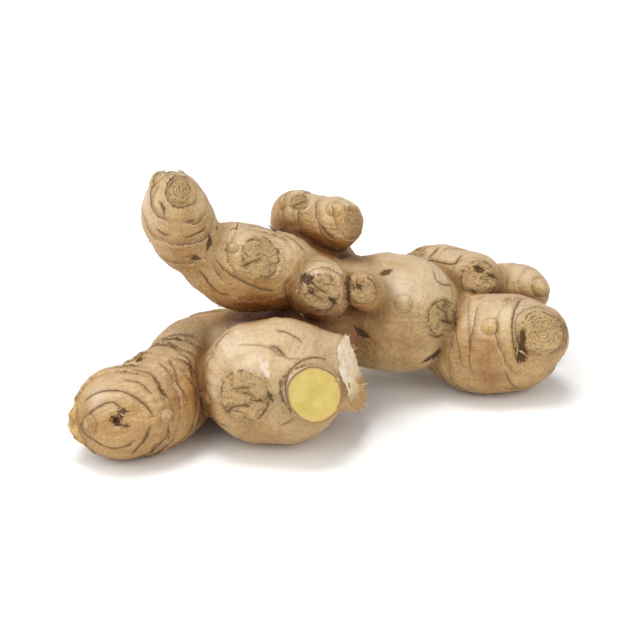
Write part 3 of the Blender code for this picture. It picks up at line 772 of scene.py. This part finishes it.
def follow_cut_edge(mesh, flesh):
    """Gives the cut face rows of vertices along its edge, which hold how far inside the edge they lie."""
    slot = mesh.materials.find(flesh.name)
    bm = bmesh.new()
    bm.from_mesh(mesh)
    rim = bm.verts.layers.float.new("rim")
    bmesh.ops.dissolve_faces(bm, faces=[f for f in bm.faces if f.material_index == slot])
    face = max((f for f in bm.faces if f.material_index == slot), key=lambda f: f.calc_area())
    middle = face.calc_center_median_weighted()
    outline = [loop.vert for loop in face.loops]
    bm.faces.remove(face)
    rows = [outline]
    for depth in CUT_RIM:
        row = []
        for vertex in outline:
            way = middle - vertex.co
            moved = bm.verts.new(vertex.co + way * min(depth * MM / way.length, 0.9))
            moved[rim] = depth
            row.append(moved)
        rows.append(row)
    made = []
    for outer, inner in zip(rows[:-1], rows[1:]):
        for k in range(len(outline)):
            after = (k + 1) % len(outline)
            made.append(bm.faces.new((outer[k], outer[after], inner[after], inner[k])))
    made.append(bm.faces.new(rows[-1]))
    for face in made:
        face.material_index = slot
    bm.to_mesh(mesh)
    bm.free()


def add_thread(bm, start, way, reach, thickness, bend, sides=5, steps=5):
    """A thin tapered root or fibre: starts under the skin and bends as it goes, ending in a point."""
    way = Vector(way).normalized()
    bend = Vector(bend)
    place = Vector(start) - way * THREAD_ROOT
    rings = []
    for i in range(steps):
        share = i / (steps - 1)
        across = way.orthogonal().normalized()
        up = way.cross(across)
        radius = thickness * (1 - 0.75 * share)
        ring = []
        for k in range(sides):
            turn = 2 * math.pi * k / sides
            rim = place + radius * (math.cos(turn) * across + math.sin(turn) * up)
            ring.append(bm.verts.new((rim.x, rim.y, max(rim.z, THREAD_FLOOR))))
        rings.append(ring)
        place = place + way * (reach + THREAD_ROOT) / (steps - 1)
        way = (way + bend / (steps - 1)).normalized()
    for lower, upper in zip(rings[:-1], rings[1:]):
        for k in range(sides):
            bm.faces.new((lower[k], lower[(k + 1) % sides], upper[(k + 1) % sides], upper[k]))
    bm.faces.new(list(reversed(rings[0])))
    bm.faces.new(rings[-1])


def add_scale(bm, base, lean, reach, draw, curl=0.35, thickness=0.22, rows=5):
    """A dry papery scale: leaves the skin along a line of points, leans away and ends in a ragged edge."""
    line = [Vector(p) for p in smooth_spine(base)]
    lean = Vector(lean).normalized()
    sheets = []
    for layer in (0.5, -0.5):
        sheet = []
        for i, foot in enumerate(line):
            along = (line[min(i + 1, len(line) - 1)] - line[max(i - 1, 0)]).normalized()
            face = along.cross(lean).normalized()
            share = i / (len(line) - 1)
            tall = reach * math.sin(math.pi * (0.08 + 0.84 * share)) ** 0.7 * draw[i % len(draw)]
            column = []
            for row in range(rows):
                out = row / (rows - 1)
                place = foot + lean * (tall * out - 0.5) + face * (curl * reach * out ** 2)
                place += face * layer * thickness * (1 - 0.7 * out)
                column.append(bm.verts.new(place))
            sheet.append(column)
        sheets.append(sheet)
    front, back = sheets
    last = len(line) - 1
    for i in range(last):
        for row in range(rows - 1):
            bm.faces.new((front[i][row], front[i + 1][row], front[i + 1][row + 1], front[i][row + 1]))
            bm.faces.new((back[i][row + 1], back[i + 1][row + 1], back[i + 1][row], back[i][row]))
        bm.faces.new((front[i][rows - 1], front[i + 1][rows - 1], back[i + 1][rows - 1], back[i][rows - 1]))
        bm.faces.new((back[i][0], back[i + 1][0], front[i + 1][0], front[i][0]))
    for i, ends in ((0, 1), (last, -1)):
        for row in range(rows - 1):
            corners = [front[i][row], front[i][row + 1], back[i][row + 1], back[i][row]]
            bm.faces.new(corners[::ends])


def as_piece(name, bm, material):
    """A finished extra piece in the frame, from a mesh drawn in the tables' millimetres."""
    bmesh.ops.recalc_face_normals(bm, faces=bm.faces)
    bmesh.ops.transform(bm, matrix=Matrix.Scale(MM, 4) @ Matrix.Translation(-Vector(SHIFT)), verts=bm.verts)
    mesh = as_mesh(name, bm, material)
    mesh.shade_smooth()
    piece = new_object(name, mesh)
    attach(piece, "root")
    return piece


def surface_table(rhizome):
    """Places and normals of the finished skin's vertices in the tables' millimetres."""
    mesh = rhizome.data
    places = np.empty(len(mesh.vertices) * 3)
    normals = np.empty(len(mesh.vertices) * 3)
    mesh.vertices.foreach_get("co", places)
    mesh.vertex_normals.foreach_get("vector", normals)
    return places.reshape(-1, 3) / MM + SHIFT, normals.reshape(-1, 3)


def stored(rhizome, name):
    values = np.empty(len(rhizome.data.vertices))
    rhizome.data.attributes[name].data.foreach_get("value", values)
    return values


def scattered(draw, wanted, places, count, apart):
    """Picks places at random from those wanted, none nearer to another than a distance."""
    picked = []
    for index in draw.permutation(np.flatnonzero(wanted)):
        if all(np.linalg.norm(places[index] - places[other]) > apart for other in picked):
            picked.append(index)
        if len(picked) == count:
            break
    return picked


def make_rootlets(rhizome, material):
    """Dead rootlets: the few that show in front, and short stubs over the underside and the back."""
    bm = bmesh.new()
    draw = np.random.default_rng(STUBBLE["seed"])
    for place, way, reach, thickness in ROOTLETS:
        add_thread(bm, place, way, reach, thickness, draw.normal(0, 0.5, 3))
    places, normals = surface_table(rhizome)
    hidden = (normals[:, 1] > 0.15) & (normals[:, 2] < 0.25)
    wanted = hidden & (places[:, 2] > 4.0) & (stored(rhizome, "cork_reach") > 1.2)
    wanted &= (stored(rhizome, "crevice") < 0.3) & (stored(rhizome, "tint") != 0)
    for index in scattered(draw, wanted, places, STUBBLE["count"], 5.0):
        way = normals[index] + draw.normal(0, 0.35, 3)
        add_thread(bm, places[index], way, draw.uniform(*STUBBLE["length"]),
                   draw.uniform(*STUBBLE["thickness"]), draw.normal(0, 0.6, 3))
    return as_piece("rootlets", bm, material)


def make_scales(rhizome, material):
    """Loose dry scales: the large ones that show, and small torn flaps along the growth rings."""
    bm = bmesh.new()
    draw = np.random.default_rng(RING_FLAPS["seed"])
    for base, lean, reach in SCALES:
        foot, upright, _ = settle(np.array(base, float))
        add_scale(bm, foot + 0.3 * upright, lean, reach, draw.uniform(0.8, 1.1, 19))
    places, normals = surface_table(rhizome)
    number = stored(rhizome, "ring_number")
    spacing = stored(rhizome, "ring_spacing")
    signed = ((number + 0.5) % 1 - 0.5) * spacing
    on_ring = (np.abs(signed - 0.2) < 0.35) & (stored(rhizome, "ring_dark") > 0.25)
    on_ring &= (places[:, 2] > 2.5) & (stored(rhizome, "cork_reach") > 1.15) & (np.abs(number) < 20)
    for index in scattered(draw, on_ring, places, RING_FLAPS["count"], 4.0):
        way = ring_way(places, number, index)
        upright = normals[index]
        along = np.cross(upright, way)
        half = draw.uniform(*RING_FLAPS["width"]) / 2
        base, _, _ = settle(np.array([places[index] + k * half * along for k in (-1, 0, 1)]))
        lean = -way + 0.30 * upright
        add_scale(bm, base + 0.15 * upright, lean, draw.uniform(*RING_FLAPS["reach"]),
                  draw.uniform(0.45, 1.1, 13), curl=-0.1, thickness=0.16, rows=3)
    return as_piece("dry_scales", bm, material)


def ring_way(places, number, index):
    """The way along the skin in which the ring number grows fastest, at one vertex."""
    near = np.flatnonzero(length(places - places[index]) < RING_WAY_REACH)
    offset = places[near] - places[index]
    change = number[near] - number[index]
    way = (offset * np.clip(change, -0.5, 0.5)[:, None]).sum(axis=0)
    return way / max(np.linalg.norm(way), 1e-9)


def make_torn_threads(rhizome, torn, material):
    """Pale fibres that stand out of the snapped end, and threads of torn skin elsewhere."""
    bm = bmesh.new()
    draw = np.random.default_rng(TORN_THREADS["seed"])
    for place, way, reach, thickness in PALE_HAIRS:
        add_thread(bm, place, way, reach, thickness, draw.normal(0, 0.8, 3))
    slot = rhizome.data.materials.find(torn.name)
    faces = [f for f in rhizome.data.polygons if f.material_index == slot]
    for face in draw.choice(len(faces), TORN_THREADS["count"], replace=False):
        place = faces[face].center / MM + Vector(SHIFT)
        way = np.array(faces[face].normal) + draw.normal(0, 0.45, 3)
        add_thread(bm, place, way, draw.uniform(*TORN_THREADS["length"]),
                   draw.uniform(*TORN_THREADS["thickness"]), draw.normal(0, 0.8, 3), sides=4)
    return as_piece("torn_threads", bm, material)


class Reading:
    """What a node gives out. Sums and products with it add nodes to its material."""

    def __init__(self, shader, socket):
        self.shader = shader
        self.socket = socket

    def __add__(self, other):
        return self.shader.math("ADD", self, other)

    def __sub__(self, other):
        return self.shader.math("SUBTRACT", self, other)

    def __mul__(self, other):
        return self.shader.math("MULTIPLY", self, other)

    def __truediv__(self, other):
        return self.shader.math("DIVIDE", self, other)

    def __abs__(self):
        return self.shader.math("ABSOLUTE", self)


class Shader:
    """One procedural material, built a node at a time, with the colour and the normal so far."""

    def __init__(self, name, colour=None):
        self.material = bpy.data.materials.new(name)
        self.material.use_nodes = True
        self.tree = self.material.node_tree
        self.surface = self.tree.nodes["Principled BSDF"]
        self.place = self.vector("SCALE", self.add("TexCoord", output="Object"), scale=1000)
        self.colour = colour
        self.normal = None

    def feed(self, socket, value):
        if isinstance(value, Reading):
            self.tree.links.new(value.socket, socket)
        elif isinstance(value, (int, float)) or len(value) == len(socket.default_value):
            socket.default_value = value
        else:
            socket.default_value = (*value, 1)

    def add(self, kind, inputs=(), output=0, **settings):
        made = self.tree.nodes.new("ShaderNode" + kind)
        for key, value in settings.items():
            setattr(made, key, value)
        for key, value in dict(inputs).items():
            self.feed(made.inputs[key], value)
        return Reading(self, made.outputs[output])

    def math(self, operation, *values):
        return self.add("Math", enumerate(values), operation=operation)

    def vector(self, operation, *values, scale=None, output=0):
        inputs = dict(enumerate(values))
        if scale is not None:
            inputs["Scale"] = scale
        return self.add("VectorMath", inputs, output=output, operation=operation)

    def part(self, value, axis):
        return self.add("SeparateXYZ", {0: value}, output=axis)

    def attribute(self, name, output="Fac"):
        return self.add("Attribute", output=output, attribute_name=name)

    def noise(self, size, place=None, detail=3.0, rough=0.5, stray=0.0):
        """Noise from 0 to 1 with swells of a size in millimetres."""
        return self.add("TexNoise", {"Vector": place or self.place, "Scale": 1 / size, "Detail": detail,
                                     "Roughness": rough, "Distortion": stray})

    def step(self, value, low, high, start=0.0, end=1.0):
        """Runs smoothly from start to end as value goes from low to high."""
        return self.add("MapRange", {"Value": value, "From Min": low, "From Max": high,
                                     "To Min": start, "To Max": end}, interpolation_type="SMOOTHSTEP")

    def mix(self, amount, first, second, blend="MIX"):
        return self.add("Mix", {0: amount, 6: first, 7: second}, output=2, data_type="RGBA", blend_type=blend)

    def paint(self, colour, amount, blend="MIX"):
        """Lays a colour over the colour so far, by an amount from 0 to 1."""
        self.colour = self.mix(amount, self.colour, colour, blend)

    def bump(self, height, distance, strength=1.0):
        """Raises the surface by a height from 0 to 1 times a distance in millimetres."""
        inputs = {"Height": height, "Distance": distance * MM, "Strength": strength}
        if self.normal:
            inputs["Normal"] = self.normal
        self.normal = self.add("Bump", inputs)

    def finish(self, roughness, **plain):
        """Feeds the surface; plain values are for its other inputs."""
        self.feed(self.surface.inputs["Base Color"], self.colour)
        self.feed(self.surface.inputs["Roughness"], roughness)
        self.feed(self.surface.inputs["Normal"], self.normal)
        for key, value in plain.items():
            self.feed(self.surface.inputs[key.replace("_", " ")], value)
        return self.material


def ring_marks(s, strands):
    """Signed distance in millimetres from the nearest growth ring's ragged edge."""
    spacing = s.attribute("ring_spacing")
    tear = s.noise(0.75, strands, detail=4, rough=0.7) - 0.5
    number = s.attribute("ring_number") + tear * 1.7 / spacing
    return (s.math("FRACT", number + 0.5) - 0.5) * spacing


def crack_marks(s):
    """How deep inside a crack or dark patch a point is, in millimetres, less than 0 outside."""
    width = s.attribute("crack_width")
    stray = (s.noise(1.3, detail=4, rough=0.65) - 0.5) * (width * 3.2 + 0.5)
    beyond = s.step(s.attribute("crack_away"), 0.9, 1.5, 0, 9)
    return width - abs(s.attribute("crack_side") + stray) - beyond


def cork_colour(s, flake):
    """Dried shoot scars: grey-tan bark with rings, radial ticks at the rim and thin cracks."""
    offset = s.attribute("cork_offset", "Vector")
    kind = s.attribute("cork_kind", "Vector")
    pale = s.part(kind, "X")
    ringed = s.part(kind, "Y")
    cloud = s.noise(3.0, detail=3)
    tone = pale * 0.62 + (flake - 0.5) * 1.7 + (cloud - 0.5) * 0.6
    bark = s.mix(s.step(tone, -0.15, 0.75), CORK_DARK, CORK_PALE)
    away = s.vector("LENGTH", offset, output="Value") + s.noise(2.4, detail=3) * 3.0
    wave = s.math("SINE", away * (2 * math.pi / CORK_RING_SPACING))
    wave = wave * s.step(s.noise(2.0, detail=3), 0.35, 0.62, 0.2, 1.0)
    bark = s.mix(s.step(wave, 0.35, 0.95) * (ringed * 0.76 + 0.04), bark, RING_BROWN_AND_SHADE)
    bark = s.mix(s.step(wave, -0.4, -0.95) * ringed * 0.6, bark, SKIN_PALE)
    spoke = s.vector("SCALE", s.vector("NORMALIZE", offset), scale=7.0)
    ticks = s.step(s.noise(0.8, spoke, detail=2), 0.52, 0.66) * s.step(s.attribute("cork_reach"), 0.66, 0.92)
    bark = s.mix(ticks * 0.5, bark, RING_BROWN_AND_SHADE)
    flat = s.vector("MULTIPLY", s.place, (0.30, 0.30, 1.0))
    stray = s.add("TexNoise", {"Vector": s.place, "Scale": 0.5}, output="Color")
    bent = s.vector("ADD", flat, s.vector("SCALE", stray, scale=0.8))
    cells = s.add("TexVoronoi", {"Vector": bent, "Scale": 0.55}, feature="DISTANCE_TO_EDGE")
    split = s.step(cells, 0.070, 0.020) * s.step(s.noise(3.2), 0.46, 0.56) * (ringed * -0.75 + 1.0)
    bark = s.mix(split * 0.55, bark, EDGE_BROWN)
    crumb = s.step(s.noise(1.3, detail=3), 0.56, 0.70) * s.step(cloud, 0.42, 0.60)
    bark = s.mix(crumb * 0.6, bark, EDGE_BROWN)
    return bark, split, wave


def skin_material():
    """Thin dry skin: pale tan and finely fibrous, with ragged brown rings, cork scars and yellow growth."""
    s = Shader("ginger_skin", SKIN_DEEP)
    tint = s.attribute("tint")
    strands = s.vector("ADD", s.attribute("fibre", "Vector"), s.vector("SCALE", s.place, scale=0.09))
    streak = s.noise(0.55, strands, detail=4, rough=0.6)
    broad_streak = s.noise(2.6, strands, detail=3)
    cloud = s.noise(11, detail=3)
    mottle = s.noise(1.9, detail=5, rough=0.65)
    flake = s.noise(0.9, detail=5, rough=0.7, stray=0.6)
    speckle = s.noise(0.75, detail=3, rough=0.7)

    # Bare skin: clouds, fibres and flakes
    tone = cloud * 0.45 + mottle * 0.30 + broad_streak * 0.25 + tint * 0.07
    s.paint(SKIN_PALE, s.step(tone, 0.36, 0.62))
    s.paint(SKIN_WARM, s.step(broad_streak, 0.45, 0.75, 0, 0.5))
    s.paint(SKIN_DULL, s.step(mottle, 0.52, 0.72, 0, 0.48))
    fibrous = s.step(tint, 0.35, -0.4, 0.40, 1.0)
    s.paint(SKIN_DEEP, s.step(streak, 0.50, 0.68, 0, 0.66) * fibrous)
    s.paint(SKIN_PALE, s.step(streak, 0.46, 0.30, 0, 0.54) * fibrous)
    s.paint(SKIN_DULL, s.step(flake, 0.54, 0.70, 0, 0.50))
    # browner lobes, with painted shade on the back segment
    s.paint(LOBE_BROWN_AND_SHADE, s.step(tint, 0.0, -0.9), "MULTIPLY")
    s.paint(SKIN_DULL, s.step(speckle, 0.48, 0.66, 0, 0.44))
    s.paint(DUST_AND_HIGHLIGHT, s.step(speckle, 0.46, 0.32, 0, 0.38))

    # Patches that the tables place
    # stains, and painted shade where some of these patches sit on shaded sides
    s.paint(STAIN_AND_SHADE_TINT, s.attribute("stained") * s.step(mottle, 0.2, 0.6, 0.5, 1.0), "MULTIPLY")
    # bleached skin, with painted highlights on the round body
    s.paint(DUST_AND_HIGHLIGHT, s.attribute("bleached") * s.step(broad_streak, 0.3, 0.6, 0.35, 0.8))
    s.paint(YOUNG, s.attribute("young") * s.step(mottle, 0.25, 0.6) * 0.75)
    # peeled skin with a painted glint on it
    bare = streak * 0.8 + mottle * 0.8 + s.attribute("bare")
    s.paint(PEEL_AND_GLINT_PALE, s.step(bare, 1.20, 1.85, 0, 0.75))

    # Paler on top, dust and a painted highlight; painted shade on the undersides, warmer and darker
    cork = s.attribute("cork")
    up = (cloud - 0.5) * 0.9 + s.part(s.add("NewGeometry", output="Normal"), "Z")
    shut_in = cork * -0.22 + mottle * 0.12 + s.attribute("crevice")
    top_dust_and_highlight = s.step(up, 0.35, 0.95, 0, 0.38) * s.step(shut_in, 0.40, 0.10)
    # dust with a painted highlight on up-facing skin
    s.paint(DUST_AND_HIGHLIGHT, top_dust_and_highlight * s.step(tint, -0.9, -0.3, 0.35, 1.0))
    low = s.step(up, 0.45, -0.70) * s.step(s.part(s.place, "Z"), 10, 45, 0.15, 1.0)
    # painted shade on down-facing skin
    s.paint(UNDERSIDE_SHADE, low, "MULTIPLY")

    # Growth rings: painted shade under each edge, a painted highlight on the lip, the thin dark edge and
    # scurf round it
    ring = ring_marks(s, strands)
    off_ring = abs(ring)
    ring_dark = s.attribute("ring_dark")
    under = s.step(ring, -2.6, -0.1) * s.step(ring, 0.35, 0.0) * ring_dark
    under = under * s.step(mottle, 0.25, 0.6, 0.45, 1.15)
    s.paint(RING_BROWN_AND_SHADE, under)
    s.paint(DUST_AND_HIGHLIGHT, s.step(ring, 1.1, 0.3) * s.step(ring, 0.0, 0.25) * ring_dark * 0.5)
    edge = s.noise(4.0, detail=3) * ring_dark * 0.56 - off_ring
    edge = s.step(edge, -0.12, 0.12) * s.step(ring_dark, 0.05, 0.6, 0, 0.85)
    s.paint(EDGE_BROWN, edge * s.step(s.noise(5.0, detail=2), 0.38, 0.58, 0.25, 1))
    s.paint(RING_BROWN_AND_SHADE, s.step(off_ring, 2.6, 0.3) * s.step(flake, 0.50, 0.62) * ring_dark * 0.9)

    # Buds
    bud = s.attribute("bud_reach")
    s.paint(RING_BROWN_AND_SHADE, s.step(abs(bud - 1.08), 0.16, 0.02) * s.step(mottle, 0.35, 0.65, 0.15, 0.75))
    husk = s.math("SINE", bud * 19.0)
    s.paint(RING_BROWN_AND_SHADE, s.step(husk, 0.2, 0.9, 0, 0.25) * s.step(bud, 1.0, 0.9))
    s.paint(SKIN_PALE, s.step(bud, 0.42, 0.25, 0, 0.6))

    # Dried shoot scars and the skin's collar round each
    bark, split, wave = cork_colour(s, flake)
    reach = s.attribute("cork_reach")
    s.paint(bark, s.step(cork, 0.3, 0.8, 0, 0.92))
    rim = s.step(abs(reach - 0.985), 0.075, 0.02) * s.step(s.noise(2.8, detail=4), 0.40, 0.58)
    s.paint(EDGE_BROWN, rim * 0.85)
    collar = s.step(reach, 1.0, 1.06) * s.step(reach, 1.28, 1.10)
    s.paint(RING_BROWN_AND_SHADE, collar * s.step(streak, 0.40, 0.62, 0.05, 0.55))

    # Creases between lobes: a brown line along the joints, partly painted crease shade, and painted shade
    # that deepens with how shut in the skin is
    # brown along the joints, partly painted crease shade
    s.paint(RING_BROWN_AND_SHADE, s.attribute("joint") * s.step(mottle, 0.2, 0.7, 0.3, 0.9) * 0.45)
    # painted shade, darker where the lobes round the skin shut it in
    s.paint(CREVICE_SHADE, s.step(shut_in, 0.10, 0.70), "MULTIPLY")
    s.paint(DEEP_CREVICE_SHADE, s.step(shut_in, 0.60, 1.05), "MULTIPLY")

    # Skin drawn back round the clean cut, with a broken dark line
    below = s.attribute("below_cut")
    s.paint(DUST_AND_HIGHLIGHT, s.step(below, 1.15, 0.8, 0, 0.7) * s.step(below, -1.0, -0.5))
    dash = s.step(abs(s.noise(1.8, detail=3) * 0.9 + below - 1.75), 0.34, 0.10)
    s.paint(EDGE_BROWN, dash * s.step(s.noise(2.2, detail=2), 0.42, 0.55) * 0.85)

    # Cracks, dark patches and specks, with painted shade in a few hollows and gaps
    inside = crack_marks(s)
    crack_dark = s.attribute("crack_dark")
    s.paint(RING_BROWN_AND_SHADE, s.step(inside, -1.2, 0.0, 0, 0.55) * crack_dark)
    crack = s.step(inside, -0.10, 0.10) * crack_dark
    # crack brown, and near-black painted shade in the wide hollows and gaps
    crack_and_gap_colour = s.mix(s.step(s.attribute("crack_width"), 0.30, 0.80), EDGE_BROWN, DARK_PATCH_AND_SHADE_BROWN)
    s.paint(crack_and_gap_colour, crack * s.step(flake, 0.30, 0.55, 1.0, 0.86))
    s.paint(RING_BROWN_AND_SHADE, s.step(s.noise(0.8, detail=1), 0.69, 0.77) * s.step(cloud, 0.45, 0.62) * 0.6)

    s.bump(speckle * 0.8 + streak * 0.6 + s.noise(0.32, detail=2) * 0.3, 0.32, 0.95)
    s.bump(s.noise(1.3, strands, detail=4, rough=0.6), 0.75, 0.85)
    s.bump(s.noise(3.0, detail=4, rough=0.55), 1.1, 0.8)
    s.bump(s.step(ring, -0.25, 0.15) * s.step(ring, 2.4, 0.2) * ring_dark, 0.45, 0.9)
    s.bump(crack * -1.0, 0.5, 0.9)
    s.bump(cork * (wave * -0.12 + flake - split), 0.7, 0.9)
    rough = mottle * 0.25 + 0.31 + (cork + under) * 0.25 + crack * 0.45
    return s.finish(rough, Subsurface_Weight=0.08, Subsurface_Scale=0.002,
                    Subsurface_Radius=(1.0, 0.5, 0.25), Specular_IOR_Level=0.60)


def flesh_material():
    """The fresh cut: moist yellow flesh with a darker outer band inside the brown edge of the skin."""
    s = Shader("ginger_flesh", FLESH)
    rim = (s.noise(1.6, detail=3) - 0.5) * 0.7 + s.attribute("rim")
    grain = s.noise(0.45, detail=4, rough=0.7)
    s.paint(FLESH_PALE, s.step(s.noise(5.0, detail=2), 0.35, 0.7))
    s.paint(FLESH_DEEP, s.step(grain, 0.45, 0.72, 0, 0.35))
    s.paint(FLESH_EDGE, s.step(rim, 1.9, 0.9, 0, 0.8))
    s.paint(SKIN_WARM, s.step(rim, 1.30, 0.95, 0, 0.85))
    s.paint(RING_BROWN_AND_SHADE, s.step(rim, 0.80, 0.45, 0, 0.9))
    dots = s.add("TexVoronoi", {"Vector": s.place, "Scale": 1.1, "Randomness": 1.0}, feature="F1")
    s.paint(FLESH_DEEP, s.step(dots, 0.12, 0.05, 0, 0.35))
    s.bump(grain, 0.12, 0.8)
    s.bump(s.step(rim, 0.9, 0.1), 0.4, 0.6)
    return s.finish(grain * 0.25 + 0.30, Subsurface_Weight=0.2, Subsurface_Scale=0.002,
                    Subsurface_Radius=(1.0, 0.7, 0.2), Specular_IOR_Level=0.5)


def torn_material():
    """The snapped end: pale dry flesh with pits and pulled threads, browner at its lower edge."""
    s = Shader("ginger_torn", TORN_PALE)
    grain = s.noise(0.6, detail=5, rough=0.75, stray=0.5)
    cloud = s.noise(4.0, detail=3)
    s.paint(TORN_WARM, s.step(cloud, 0.35, 0.65))
    s.paint(SKIN_WARM, s.step(grain, 0.56, 0.78, 0, 0.35))
    s.paint(SKIN_DEEP, s.step(cloud * 8.0 + s.part(s.place, "Z"), 28.5, 21.0, 0, 0.90))
    s.paint(RING_BROWN_AND_SHADE, s.step(s.noise(1.1, detail=2), 0.68, 0.76, 0, 0.5))
    s.bump(grain, 0.5, 0.9)
    return s.finish(s.step(grain, 0.3, 0.7, 0.6, 0.85), Subsurface_Weight=0.1, Subsurface_Scale=0.002,
                    Subsurface_Radius=(1.0, 0.6, 0.3), Specular_IOR_Level=0.3)


def dry_material(name, dark, pale, size):
    """Dead dry matter: rootlets, papery scales and threads."""
    s = Shader(name, dark)
    grain = s.noise(size, detail=3)
    s.paint(pale, s.step(grain, 0.30, 0.70))
    s.bump(grain, 0.15, 0.8)
    return s.finish(s.step(grain, 0.3, 0.7, 0.65, 0.9), Specular_IOR_Level=0.3)


def light_and_camera():
    """Plain pale floor, soft light from the upper left, and the photograph's view."""
    bm = bmesh.new()
    bmesh.ops.create_grid(bm, x_segments=1, y_segments=1, size=FLOOR_REACH)
    s = Shader("floor", FLOOR_DULL)
    s.paint(FLOOR_PALE, s.step(s.noise(40, detail=2), 0.3, 0.7))
    s.bump(s.noise(2.0), 0.02, 0.3)
    new_object("floor", as_mesh("floor", bm, s.finish(0.6)))

    world = bpy.data.worlds.new("studio")
    world.use_nodes = True
    sky = world.node_tree.nodes["Background"].inputs
    sky["Color"].default_value = (1, 1, 1, 1)
    sky["Strength"].default_value = WORLD_LIGHT
    bpy.context.scene.world = world
    for name, power, size, place in LAMPS:
        lamp = bpy.data.lights.new(name, "AREA")
        lamp.energy = power
        lamp.shape = "DISK"
        lamp.size = size
        holder = new_object(name, lamp)
        holder.location = place
        holder.rotation_euler = (-Vector(place)).to_track_quat("-Z", "Y").to_euler()

    _, _, ahead = view_axes()
    lens = bpy.data.cameras.new("camera")
    lens.sensor_width = SENSOR
    lens.lens = SENSOR * VIEW_DISTANCE / (PICTURE_SIDE * PIXEL)
    camera = new_object("camera", lens)
    camera.location = place_of(VIEW_TARGET - VIEW_DISTANCE * ahead)
    camera.rotation_euler = (math.radians(90 - VIEW_ELEVATION), 0, 0)
    bpy.context.scene.camera = camera
    bpy.context.scene.view_settings.view_transform = "Standard"


skin = skin_material()
flesh = flesh_material()
torn = torn_material()
rhizome = make_rhizome(skin, flesh, torn)
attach(rhizome, "root")
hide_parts(NODE)
make_rootlets(rhizome, dry_material("rootlet", ROOT_DARK, ROOT_PALE, 0.9))
make_scales(rhizome, dry_material("dry_scale", SCALE_DARK, SCALE_PALE, 2.4))
make_torn_threads(rhizome, torn, dry_material("pale_thread", TORN_WARM, HAIR_PALE, 1.5))
light_and_camera()
